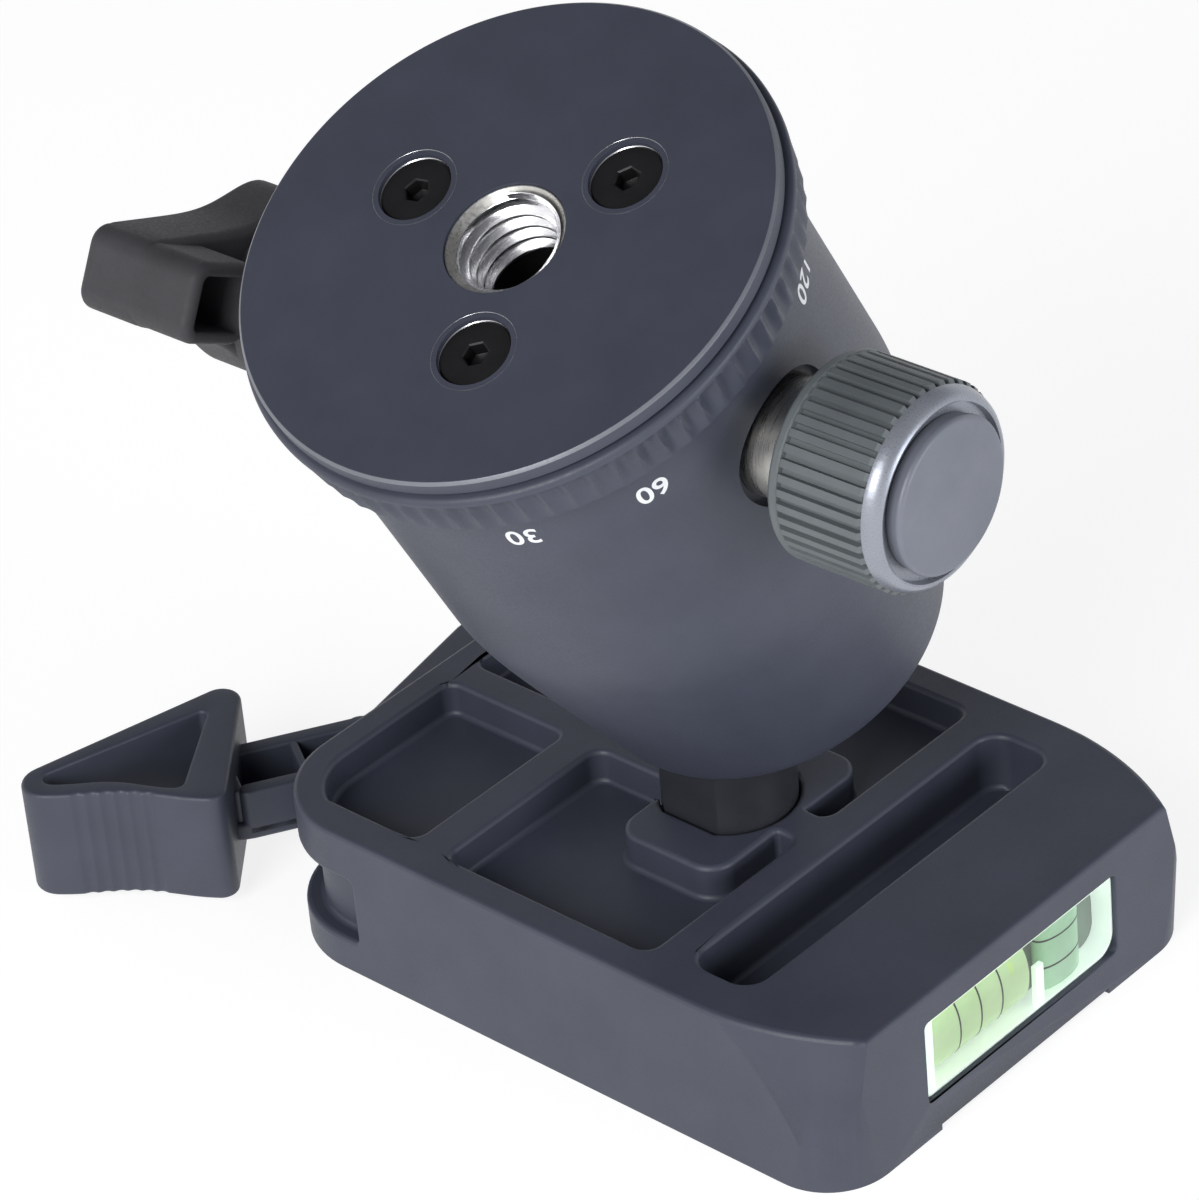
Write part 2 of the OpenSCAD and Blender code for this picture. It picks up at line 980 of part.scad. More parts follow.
module friction_knob() {
    r = friction_d / 2;
    out = friction_in + friction_len;
    color(body_colour)
        at_friction_knob()
            difference() {
                union() {
                    cone(r - 0.4, r, friction_in, friction_in + 0.5);
                    rod(r, friction_in + 0.5 - eps, friction_in + 1);
                    slab(friction_in + 1 - eps, out - 1.2)
                        difference() {
                            circle(r = r);
                            for (i = [0 : knurl_count - 1])
                                rotate(i * 360 / knurl_count)
                                    translate([r - 0.45, -0.28])
                                        square([1, 0.56]);
                        }
                    rod(r - 0.2, out - 1.2 - eps, out - 0.9);
                    cone(r - 0.2, r - 1, out - 0.9, out);
                }
                rod(collar_r, friction_in - 1, friction_in + 0.9);
                rod(shaft_r, friction_in, friction_in + 8);
                tube(r - 1.3, cap_r + 0.1, out - 0.8, out + 1);
                rod(cap_r + 0.11, out - 0.5, out + 1);
            }
}

module friction_cap() {
    out = friction_in + friction_len;
    color(body_colour)
        at_friction_knob() {
            rod(cap_r, out - 0.48, out + 0.7);
            cone(cap_r, cap_r - 0.3, out + 0.7 - eps, out + 1);
        }
}

module friction_screw() {
    color(steel)
        at_friction_knob() {
            friction_tip();
            rod(collar_r - 0.02, collar_in, friction_in + 0.88);
        }
}

// ---- Base ----

// Repeats what follows at each base screw, with +Z out of the base
module each_base_screw() {
    for (i = [0 : 2])
        rotate([0, 0, base_screw_turn + 120 * i])
            translate([screw_circle_r, 0, 0])
                children();
}

module base_plate() {
    color(body_colour)
        in_head()
            difference() {
                union() {
                    rod(land_r, plate_low, base_h - rim_t + eps);
                    cone(base_d / 2 - 0.4, base_d / 2, base_h - rim_t, base_h - rim_t + 0.4);
                    rod(base_d / 2, base_h - rim_t + 0.4 - eps, base_h - 0.5);
                    cone(base_d / 2, base_d / 2 - 0.5, base_h - 0.5 - eps, base_h);
                }
                rod(boss_r + 0.05, plate_low - 1, base_h + 1);
                each_base_screw() {
                    rod(base_screw_r + 0.1, plate_low - 1, base_h);
                    cone(base_screw_r, sink_r, sink_h - sink_r + base_screw_r, sink_h);
                    rod(sink_r, sink_h - eps, base_h + 1);
                    cone(sink_r, sink_r + 0.4, base_h - 0.4, base_h + eps);
                }
            }
}

module fluted_ring() {
    low = plate_low + 0.1;
    high = base_h - rim_t - 0.05;
    lip = high - ring_lip;
    low_r = housing_r(collar_top);
    top_r = ring_d / 2;
    color(body_colour)
        in_head()
            difference() {
                union() {
                    cone(low_r, top_r, low, lip);
                    rod(top_r, lip - eps, high - 0.3);
                    cone(top_r, top_r - 0.3, high - 0.3 - eps, high);
                }
                rod(land_r, low - 1, high + 1);
                // Scoops that follow the cone and end under the lip
                for (i = [0 : flute_count - 1])
                    rotate([0, 0, i * 360 / flute_count])
                        translate([low_r - flute_t, 0, low])
                            rotate([0, atan2(top_r - low_r, lip - low), 0])
                                translate([flute_r, 0, -1.5])
                                    cylinder(r = flute_r, h = norm([top_r - low_r, lip - low]) + 1.2, $fn = 16);
            }
}

module lower_glide_washer() {
    color(nylon)
        in_head()
            tube(land_r - 1.5, neck_r + 0.2, collar_top + 0.1, plate_low - 0.1);
}

// Turning spindle that ties the base to the housing and carries the tripod thread
module pan_spindle() {
    color(steel)
        in_head()
            difference() {
                union() {
                    rod(flange_r, flange_low, flange_top);
                    rod(neck_r, flange_top - eps, plate_low - 0.02);
                    rod(boss_r, plate_low - 1, base_h - 0.3);
                }
                rod(thread_d / 2, base_h - 0.3 - thread_len, base_h);
                cone(thread_d / 2, boss_r - 0.1, base_h - 1, base_h - 0.3 + eps);
                each_base_screw()
                    rod(base_screw_r, plate_low - base_screw_len, base_h);
            }
}

module base_screws() {
    color(dark_steel)
        in_head()
            each_base_screw()
                difference() {
                    union() {
                        rod(base_screw_r, plate_low - base_screw_len + 0.5, sink_h - 0.5);
                        cone(base_screw_r, sink_r - 0.05, sink_h - sink_r + base_screw_r + 0.05, sink_h);
                        rod(sink_r - 0.05, sink_h - eps, base_h - 0.35);
                    }
                    translate([0, 0, base_h - 1.6])
                        hex_rod(2, 2);
                }
}

platform();
level_block();
long_vial();
cross_vial();
fixed_jaw();
jaw_screws();
stem();
stem_screw();
lever();
lever_pin();
lever_spring();
trigger_pin();
trigger_spring();
ball();
seat_ring();
pressure_cup();
housing();
bearing_ring();
upper_glide_washer();
wedge_block();
disc_springs();
spring_cap();
lock_bush();
friction_bush();
lock_knob();
knob_core();
lock_stud();
friction_knob();
friction_cap();
friction_screw();
base_plate();
fluted_ring();
lower_glide_washer();
pan_spindle();
base_screws();
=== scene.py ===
import math

import bmesh
import bpy
from mathutils import Matrix, Vector


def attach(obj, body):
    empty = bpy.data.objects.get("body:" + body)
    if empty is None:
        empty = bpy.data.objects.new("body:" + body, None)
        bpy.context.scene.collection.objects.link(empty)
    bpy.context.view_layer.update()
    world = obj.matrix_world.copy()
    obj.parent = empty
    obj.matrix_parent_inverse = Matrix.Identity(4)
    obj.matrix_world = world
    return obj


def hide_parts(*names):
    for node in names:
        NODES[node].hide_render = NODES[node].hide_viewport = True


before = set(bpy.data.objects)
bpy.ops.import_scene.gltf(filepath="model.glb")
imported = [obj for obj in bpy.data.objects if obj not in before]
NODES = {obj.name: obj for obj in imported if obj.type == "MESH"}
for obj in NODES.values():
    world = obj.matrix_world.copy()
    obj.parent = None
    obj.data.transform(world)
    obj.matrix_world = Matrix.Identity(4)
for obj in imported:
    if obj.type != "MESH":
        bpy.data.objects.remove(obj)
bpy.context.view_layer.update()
MM = 0.001

# ---- Places, in millimetres as in the CAD ----

BALL_Z = 35.5
HEAD = (
    Matrix.Translation((0, 0, BALL_Z * MM))
    @ Matrix.Rotation(math.radians(-0.7), 4, "Z")
    @ Matrix.Rotation(math.radians(27.5), 4, "X")
    @ Matrix.Rotation(math.radians(1.8), 4, "Z")
)
BASE_H = 46.3  # The disc's face, along the head's axis from the ball's centre
BASE_R = 24.3
PLATE_LOW = 39.5
PLATE_HUB_R = 21.6  # The part of the disc that the fluted ring lies round
RING_R = 24.9
COLLAR_TOP = 38.8
MOUTH_H = 13.5
HOUSING_R = 22.25
FLARE_H = 27.0
TAPER_H = 12.0
SCALE_H = 35.2
SCALE_TURN = 91.9  # Degrees from the scale's zero to the head's X axis
THREAD_R = 4.7625
THREAD_PITCH = 25.4 / 16
BORE_R = 4.775
BORE_LOW = BASE_H - 7.6
SCREW_CIRCLE = 11.3
SCREW_TURN = 52
FRICTION_H = 27.5
FRICTION_IN = 26.9
FRICTION_OUT = 38.1
FRICTION_R = 9.2
RECESS_R = 6.2
RECESS_FLOOR = 20.7
LOCK_H = 19.6
WING_TURN = 126
LEVER_LOW = -3.5
LEVER_TOP = 2.0
FRICTION_SHAFT = HEAD @ Matrix.Translation((0, 0, FRICTION_H * MM)) @ Matrix.Rotation(math.radians(90), 4, "Y")
LOCK_SHAFT = (
    HEAD
    @ Matrix.Translation((0, 0, LOCK_H * MM))
    @ Matrix.Rotation(math.radians(WING_TURN), 4, "X")
    @ Matrix.Rotation(math.radians(-90), 4, "Y")
    @ Matrix.Rotation(math.radians(90), 4, "Z")
)
# The level's end face, drawn as (y, z) with X as its height
FACE = Matrix(((0, 0, 1, 0), (1, 0, 0, 0), (0, 1, 0, 0), (0, 0, 0, 1)))
FLOOR_Z = -8.1


# ---- Materials ----

def material(name, **values):
    """A Principled material whose constant values are set on the shader's own sockets."""
    mat = bpy.data.materials.new(name)
    mat.use_nodes = True
    tree = mat.node_tree
    bsdf = tree.nodes["Principled BSDF"]
    for key, value in values.items():
        bsdf.inputs[key.replace("_", " ")].default_value = value
    return mat, tree, bsdf


def coordinates(tree, scale=(1, 1, 1)):
    """Object coordinates, in millimetres, stretched by scale."""
    coord = tree.nodes.new("ShaderNodeTexCoord")
    mapping = tree.nodes.new("ShaderNodeMapping")
    mapping.inputs["Scale"].default_value = [s / MM for s in scale]
    tree.links.new(coord.outputs["Object"], mapping.inputs["Vector"])
    return mapping.outputs["Vector"]


def noise(tree, vector, scale, detail=2.0, rough=0.5):
    node = tree.nodes.new("ShaderNodeTexNoise")
    node.inputs["Scale"].default_value = scale
    node.inputs["Detail"].default_value = detail
    node.inputs["Roughness"].default_value = rough
    tree.links.new(vector, node.inputs["Vector"])
    return node.outputs["Fac"]


def ramp(tree, value, low, high, a, b):
    """Spreads value from low..high over the colours or numbers a..b."""
    node = tree.nodes.new("ShaderNodeValToRGB")
    for stop, place, colour in zip(node.color_ramp.elements, (low, high), (a, b)):
        stop.position = place
        stop.color = colour if isinstance(colour, tuple) else (colour, colour, colour, 1)
    tree.links.new(value, node.inputs["Fac"])
    return node.outputs["Color"]


def bump(tree, bsdf, height, distance, strength=0.5):
    node = tree.nodes.new("ShaderNodeBump")
    node.inputs["Distance"].default_value = distance * MM
    node.inputs["Strength"].default_value = strength
    tree.links.new(height, node.inputs["Height"])
    tree.links.new(node.outputs["Normal"], bsdf.inputs["Normal"])


def grained(name, dark, light, rough, rough_to, grain=5.0, depth=0.012, strength=0.35, **values):
    """Fine-grained surface: cloudy colour, fine bumps and uneven gloss."""
    mat, tree, bsdf = material(name, **values)
    vector = coordinates(tree)
    cloud = noise(tree, vector, 0.12, 4.0, 0.6)
    tree.links.new(ramp(tree, cloud, 0.3, 0.7, dark, light), bsdf.inputs["Base Color"])
    fine = noise(tree, vector, grain, 2.0, 0.6)
    tree.links.new(ramp(tree, fine, 0.25, 0.75, rough, rough_to), bsdf.inputs["Roughness"])
    bump(tree, bsdf, fine, depth, strength)
    return mat


def turned(name, dark, light, rough, rough_to, stretch, line=6.0, depth=0.006, **values):
    """Machined metal with fine tool lines; stretch is small along the lines and 1 across them."""
    mat, tree, bsdf = material(name, Metallic=1.0, **values)
    lines = noise(tree, coordinates(tree, stretch), line, 3.0, 0.7)
    patch = noise(tree, coordinates(tree), 0.35, 3.0, 0.5)
    tree.links.new(ramp(tree, patch, 0.3, 0.7, dark, light), bsdf.inputs["Base Color"])
    tree.links.new(ramp(tree, lines, 0.3, 0.7, rough, rough_to), bsdf.inputs["Roughness"])
    bump(tree, bsdf, lines, depth, 0.6)
    return mat


SATIN = grained("satin_blue_grey", (0.040, 0.045, 0.066, 1), (0.050, 0.056, 0.081, 1), 0.40, 0.58)
# Lighter copy of the satin finish: painted light on the friction knob's end cap and on the bore's mouth chamfer.
SATIN_PAINTED_LIGHT = grained("satin_blue_grey_painted_light", (0.12, 0.13, 0.16, 1), (0.16, 0.17, 0.205, 1), 0.32, 0.48)
EDGE = grained("edge_bare", (0.150, 0.157, 0.180, 1), (0.190, 0.198, 0.225, 1), 0.30, 0.45, Metallic=0.3)
KNURL = grained("knurl_grey", (0.094, 0.108, 0.114, 1), (0.122, 0.138, 0.145, 1), 0.40, 0.58, grain=7.0)
KNOB_RIM = grained(
    "knob_rim", (0.24, 0.255, 0.295, 1), (0.31, 0.325, 0.37, 1), 0.24, 0.36, depth=0.003, Metallic=0.45)
RUBBER = grained(
    "black_rubber", (0.044, 0.044, 0.048, 1), (0.060, 0.060, 0.066, 1), 0.48, 0.72, grain=3.2, depth=0.03,
    strength=0.5, Specular_IOR_Level=0.22)
OXIDE = grained("black_oxide", (0.016, 0.016, 0.017, 1), (0.030, 0.030, 0.032, 1), 0.30, 0.48, Metallic=0.6)
STEM = grained("stem_black", (0.020, 0.021, 0.026, 1), (0.030, 0.032, 0.038, 1), 0.26, 0.42)
STEEL = turned("turned_steel", (0.50, 0.49, 0.46, 1), (0.62, 0.61, 0.58, 1), 0.22, 0.42, (1, 1, 1), 3.0)
SHAFT = turned("turned_shaft", (0.56, 0.55, 0.51, 1), (0.70, 0.69, 0.66, 1), 0.22, 0.38, (0.05, 0.05, 1))
BRIGHT = turned("bright_thread", (0.74, 0.74, 0.76, 1), (0.90, 0.90, 0.92, 1), 0.16, 0.34, (0.1, 0.1, 1))
BALL_METAL = turned("ball_metal", (0.46, 0.46, 0.48, 1), (0.56, 0.56, 0.58, 1), 0.12, 0.22, (0.05, 0.05, 1))
BRASS = turned("turned_brass", (0.58, 0.42, 0.18, 1), (0.70, 0.54, 0.26, 1), 0.22, 0.38, (1, 1, 1), 3.0)
NYLON = grained("nylon", (0.72, 0.70, 0.63, 1), (0.80, 0.79, 0.73, 1), 0.42, 0.6, Subsurface_Weight=0.1)
PAINT = grained("number_paint", (0.68, 0.69, 0.70, 1), (0.80, 0.81, 0.82, 1), 0.42, 0.6, grain=9.0)
BLACK_LINE = grained("ring_line", (0.010, 0.012, 0.010, 1), (0.02, 0.022, 0.02, 1), 0.35, 0.5)
# White lining of the level with a painted glow: its emission stands in for the light that reaches it through the
# clear block.
LEVEL_GLOWING_WHITE = grained(
    "level_white_painted_glow", (0.88, 0.93, 0.90, 1), (0.94, 0.97, 0.95, 1), 0.4, 0.6, Emission_Color=(0.90, 1.0, 0.95, 1),
    Emission_Strength=0.42)
LEVEL_BACK = grained("level_back", (0.20, 0.24, 0.21, 1), (0.28, 0.33, 0.29, 1), 0.4, 0.6)
LONG_LIQUID = grained("vial_liquid", (0.62, 0.80, 0.46, 1), (0.74, 0.88, 0.58, 1), 0.1, 0.2, depth=0.004)
CROSS_LIQUID = grained("vial_liquid_cross", (0.42, 0.68, 0.46, 1), (0.56, 0.78, 0.58, 1), 0.1, 0.2, depth=0.004)
BUBBLE = grained("vial_bubble", (0.66, 0.86, 0.30, 1), (0.80, 0.92, 0.42, 1), 0.1, 0.2, depth=0.004)


def clear(name, colour, rough, ior):
    """See-through solid with faint waves in its surface."""
    mat, tree, bsdf = material(name, Roughness=rough, IOR=ior, Transmission_Weight=1.0)
    cloud = noise(tree, coordinates(tree), 0.4, 2.0, 0.5)
    low = tuple(0.94 * c for c in colour) + (1,)
    tree.links.new(ramp(tree, cloud, 0.3, 0.7, low, tuple(colour) + (1,)), bsdf.inputs["Base Color"])
    bump(tree, bsdf, cloud, 0.02, 0.15)
    return mat


ACRYLIC = clear("clear_acrylic", (0.93, 0.98, 0.94), 0.03, 1.49)


# ---- Mesh helpers ----

def finish_mesh(obj, angle=32):
    """Smooth shading with creases at edges sharper than angle."""
    mesh = obj.data
    mesh.polygons.foreach_set("use_smooth", [True] * len(mesh.polygons))
    mesh.set_sharp_from_angle(angle=math.radians(angle))
    mesh.update()


def add_piece(name, bm, body, mats, place=None, angle=32, replaces=()):
    """Makes an object of bm at the matrix place and rides it on body."""
    bmesh.ops.recalc_face_normals(bm, faces=bm.faces)
    mesh = bpy.data.meshes.new(name)
    bm.to_mesh(mesh)
    bm.free()
    obj = bpy.data.objects.new(name, mesh)
    bpy.context.scene.collection.objects.link(obj)
    for mat in mats if isinstance(mats, (list, tuple)) else [mats]:
        mesh.materials.append(mat)
    if place is not None:
        obj.matrix_world = place
    bpy.context.view_layer.update()
    finish_mesh(obj, angle)
    if replaces:
        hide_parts(*replaces)
    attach(obj, body)
    return obj


def polar(r, a, h):
    """Point at radius r and height h, in millimetres, at the angle a about Z."""
    return r * MM * math.cos(a), r * MM * math.sin(a), h * MM


def bridge(bm, one, two):
    """Faces between two closed loops with as many vertices."""
    for k in range(len(one)):
        j = (k + 1) % len(one)
        bm.faces.new((one[k], one[j], two[j], two[k]))


def face_once(bm, verts):
    """Face with each of verts once, so that a loop of one vertex gives triangles."""
    corners = []
    for vert in verts:
        if vert not in corners:
            corners.append(vert)
    bm.faces.new(corners)


def rounded(points, steps=5):
    """Profile points (r, h) or (r, h, fillet), with the fillets drawn as arcs. The profile is closed."""
    out = []
    count = len(points)
    for i, point in enumerate(points):
        here = Vector(point[:2])
        fillet = point[2] if len(point) > 2 else 0
        if not fillet:
            out.append(tuple(here))
            continue
        before = (Vector(points[i - 1][:2]) - here).normalized()
        after = (Vector(points[(i + 1) % count][:2]) - here).normalized()
        half = before.angle(after) / 2
        centre = here + (before + after).normalized() * (fillet / math.sin(half))
        reach = fillet / math.tan(half)
        start = here + before * reach - centre
        end = here + after * reach - centre
        for k in range(steps + 1):
            t = k / steps
            spoke = (start.normalized() * (1 - t) + end.normalized() * t).normalized() * fillet
            out.append(tuple(centre + spoke))
    return out


def lathe(bm, profile, segments=192):
    """Turns a closed profile of (r, h) in millimetres about Z."""
    rings = []
    for r, h in profile:
        if r < 1e-6:
            rings.append([bm.verts.new((0, 0, h * MM))])
        else:
            rings.append([bm.verts.new(polar(r, 2 * math.pi * k / segments, h)) for k in range(segments)])
    for i, ring in enumerate(rings):
        other = rings[(i + 1) % len(rings)]
        if len(ring) == 1 and len(other) == 1:
            continue
        for k in range(segments):
            j = (k + 1) % segments
            face_once(bm, (ring[k % len(ring)], other[k % len(other)], other[j % len(other)], ring[j % len(ring)]))
    return bm


def turned_piece(name, profile, body, mats, place=HEAD, segments=192, replaces=()):
    return add_piece(name, lathe(bmesh.new(), profile, segments), body, mats, place, replaces=replaces)


def from_node(node):
    """A clean copy of a CAD node's mesh: welded, with its flat faces joined."""
    bm = bmesh.new()
    bm.from_mesh(NODES[node].data)
    bmesh.ops.remove_doubles(bm, verts=bm.verts, dist=2e-6)
    bmesh.ops.dissolve_limit(
        bm, angle_limit=math.radians(0.6), use_dissolve_boundaries=False, verts=bm.verts, edges=bm.edges
    )
    return bm


def carve(obj, bm, place):
    """Cuts the closed shape bm, at the matrix place, out of obj's mesh."""
    bmesh.ops.recalc_face_normals(bm, faces=bm.faces)
    mesh = bpy.data.meshes.new("cutter")
    bm.to_mesh(mesh)
    bm.free()
    cutter = bpy.data.objects.new("cutter", mesh)
    bpy.context.scene.collection.objects.link(cutter)
    cutter.matrix_world = place
    modifier = obj.modifiers.new("cut", "BOOLEAN")
    modifier.operation = "DIFFERENCE"
    modifier.solver = "EXACT"
    modifier.object = cutter
    bpy.context.view_layer.update()
    evaluated = obj.evaluated_get(bpy.context.evaluated_depsgraph_get())
    cut = bpy.data.meshes.new_from_object(evaluated)
    obj.modifiers.remove(modifier)
    old, name = obj.data, obj.data.name
    obj.data = cut
    bpy.data.meshes.remove(old)
    cut.name = name
    bpy.data.objects.remove(cutter)
    bpy.data.meshes.remove(mesh)


def refine(node, name, body, mats, width, segments=3, share=None, cuts=(), mend=None):
    """Replaces a CAD node with a copy of its shape that has rounded edges.

    mend(bm) tidies the mesh, cuts are cut off it and share(one, two) gives how much of the width an edge takes.
    """
    angle = 34
    bm = from_node(node)
    if mend:
        mend(bm)
    obj = add_piece(name, bm, body, mats, None, angle, (node,))
    for shape, place in cuts:
        carve(obj, shape, place)
        finish_mesh(obj, angle)
    bm = bmesh.new()
    bm.from_mesh(obj.data)
    weights = bm.edges.layers.float.new("bevel_weight_edge")
    for edge in bm.edges:
        if len(edge.link_faces) == 2 and edge.calc_face_angle(0) > math.radians(angle):
            one, two = (vert.co / MM for vert in edge.verts)
            edge[weights] = share(one, two) if share else 1.0
    bm.to_mesh(obj.data)
    bm.free()
    round_edges = obj.modifiers.new("round_edges", "BEVEL")
    round_edges.width = width * MM
    round_edges.segments = segments
    round_edges.limit_method = "WEIGHT"
    round_edges.use_clamp_overlap = False
    round_edges.miter_outer = "MITER_ARC"
    even = obj.modifiers.new("even_normals", "WEIGHTED_NORMAL")
    even.keep_sharp = True
    return obj


def hull_outline(circles, arc=12, straight=24):
    """Outline round circles (x, y, r) in counter-clockwise order, as (point, normal, side, share).

    side is the number of the straight side and share the way along it, or None and 0 on the arcs.
    """
    turns = []
    count = len(circles)
    for i in range(count):
        one, two = circles[i], circles[(i + 1) % count]
        way = Vector(two[:2]) - Vector(one[:2])
        turns.append(math.atan2(way.y, way.x) - math.pi / 2 + math.asin((one[2] - two[2]) / way.length))
    out = []
    for i, (x, y, r) in enumerate(circles):
        start, end = turns[i - 1], turns[i]
        while end < start:
            end += 2 * math.pi
        for k in range(arc + 1):
            a = start + (end - start) * k / arc
            normal = Vector((math.cos(a), math.sin(a)))
            out.append((Vector((x, y)) + normal * r, normal, None, 0.0))
        normal = Vector((math.cos(end), math.sin(end)))
        following = circles[(i + 1) % count]
        first = Vector((x, y)) + normal * r
        last = Vector(following[:2]) + normal * following[2]
        for k in range(1, straight):
            out.append((first.lerp(last, k / straight), normal, i, k / straight))
    return out


def smooth_outline(points):
    """Closed counter-clockwise outline through points, in the same form as hull_outline's."""
    out = []
    for i, point in enumerate(points):
        way = Vector(points[(i + 1) % len(points)]) - Vector(points[i - 1])
        out.append((Vector(point), Vector((way.y, -way.x)).normalized(), None, 0.0))
    return out


def rounded_slab(bm, outline, low, high, edge, hole=None, hole_edge=0.3):
    """Upright slab over an outline, with rounded edges and, if asked, a hole of as many points."""
    def rows(loop, radius, sign):
        steps = 6
        levels = []
        for k in range(steps, -1, -1):
            a = math.pi / 2 * k / steps
            levels.append((radius * (1 - math.cos(a)), high - radius * (1 - math.sin(a))))
        for k in range(steps + 1):
            a = math.pi / 2 * k / steps
            levels.append((radius * (1 - math.cos(a)), low + radius * (1 - math.sin(a))))
        return [
            [bm.verts.new((Vector((*(point[0] - point[1] * sign * inset), z))) * MM) for point in loop]
            for inset, z in levels
        ]

    outer = rows(outline, edge, 1)
    for one, two in zip(outer, outer[1:]):
        bridge(bm, one, two)
    if hole is None:
        bm.faces.new(outer[0])
        bm.faces.new(outer[-1])
        return
    inner = rows(hole, hole_edge, -1)
    for one, two in zip(inner, inner[1:]):
        bridge(bm, one, two)
    bridge(bm, outer[0], inner[0])
    bridge(bm, outer[-1], inner[-1])


# ---- Camera ----

CAMERA_AT = Vector((304.83, -323.6, 326.54)) * MM
RIGHT = Vector((0.74581, 0.66147, -0.07893))
DOWN = Vector((0.32061, -0.46027, -0.82786))
FORWARD = Vector((-0.58393, 0.59212, -0.55535))
camera_data = bpy.data.cameras.new("camera")
camera_data.sensor_width = 36.0
camera_data.lens = 180.0
camera_data.clip_start = 0.01
camera_data.clip_end = 20.0
camera = bpy.data.objects.new("camera", camera_data)
bpy.context.scene.collection.objects.link(camera)
camera.matrix_world = Matrix((
    (RIGHT.x, -DOWN.x, -FORWARD.x, CAMERA_AT.x),
    (RIGHT.y, -DOWN.y, -FORWARD.y, CAMERA_AT.y),
    (RIGHT.z, -DOWN.z, -FORWARD.z, CAMERA_AT.z),
    (0, 0, 0, 1),
))
bpy.context.scene.camera = camera

# ---- CAD nodes that keep their own shape ----

for node, mat in {
    "fixed_jaw": SATIN,
    "jaw_screws": OXIDE,
    "stem_screw": OXIDE,
    "lever_pin": STEEL,
    "lever_spring": STEEL,
    "trigger_pin": BRASS,
    "trigger_spring": STEEL,
    "ball": BALL_METAL,
    "seat_ring": NYLON,
    "pressure_cup": NYLON,
    "bearing_ring": STEEL,
    "upper_glide_washer": NYLON,
    "lower_glide_washer": NYLON,
    "wedge_block": STEEL,
    "disc_springs": STEEL,
    "spring_cap": BRASS,
    "lock_bush": STEEL,
    "friction_bush": STEEL,
    "knob_core": BRASS,
    "lock_stud": STEEL,
    "pan_spindle": STEEL,
    "long_vial": LONG_LIQUID,
    "cross_vial": CROSS_LIQUID,
}.items():
    mesh = NODES[node].data
    mesh.materials.clear()
    mesh.materials.append(mat)

# ---- Clamp ----

def deck_share(one, two):
    """Full rounding on the deck, little round the level's window and none under the clamp and the nose's sides."""
    low, high = sorted((one.z, two.z))
    x = min(one.x, two.x)
    y = max(abs(one.y), abs(two.y))
    under_clamp = high < -7.0 or (low < -5.0 and x > 12)
    window = x > 33.4 and y < 13.7 and high < 4.6
    nose_side = x > 15 and y > 20 and low < 6.5
    if under_clamp:
        return 0.0
    if window:
        return 0.35
    return 0.0 if nose_side else 1.0


def join_slivers(bm):
    """Joins the slivers where the nose's curved sides begin to the edge of the deck."""
    def near_start(vert, low, high):
        x, y, z = vert.co / MM
        return 17.2 < x < 21.0 and abs(y) > 25.5 and low < z < high

    edge = [vert for vert in bm.verts if near_start(vert, 7.49, 7.51)]
    loose = [vert for vert in bm.verts if near_start(vert, 6.3, 7.49)]
    targets = {vert: min(edge, key=lambda other: (other.co - vert.co).length) for vert in loose}
    bmesh.ops.weld_verts(bm, targetmap=targets)


def nose_corner(side):
    """What the rounding of one lower corner of the nose takes away, along its own upright edge."""
    bm = bmesh.new()
    radius, over, steps = 6.5, 3.0, 24
    outline = [(over, -side * over), (over, side * radius)]
    for k in range(steps + 1):
        a = math.radians(90 * k / steps)
        outline.append((-radius + radius * math.cos(a), side * (radius - radius * math.sin(a))))
    outline.append((-radius, -side * over))
    low, high = [[bm.verts.new((x * MM, y * MM, z * MM)) for x, y in outline] for z in (-1.0, 17.0)]
    bridge(bm, low, high)
    bm.faces.new(low)
    bm.faces.new(high)
    lean = Matrix.Rotation(math.radians(3.5), 4, Vector((side, 1, 0)))
    return bm, Matrix.Translation(Vector((33.6, -26.0 * side, FLOOR_Z)) * MM) @ lean


refine(
    "platform", "deck", "clamp", SATIN, 0.45, share=deck_share, cuts=[nose_corner(1), nose_corner(-1)],
    mend=join_slivers)
refine("stem", "stem_post", "clamp", STEM, 0.25, 2)


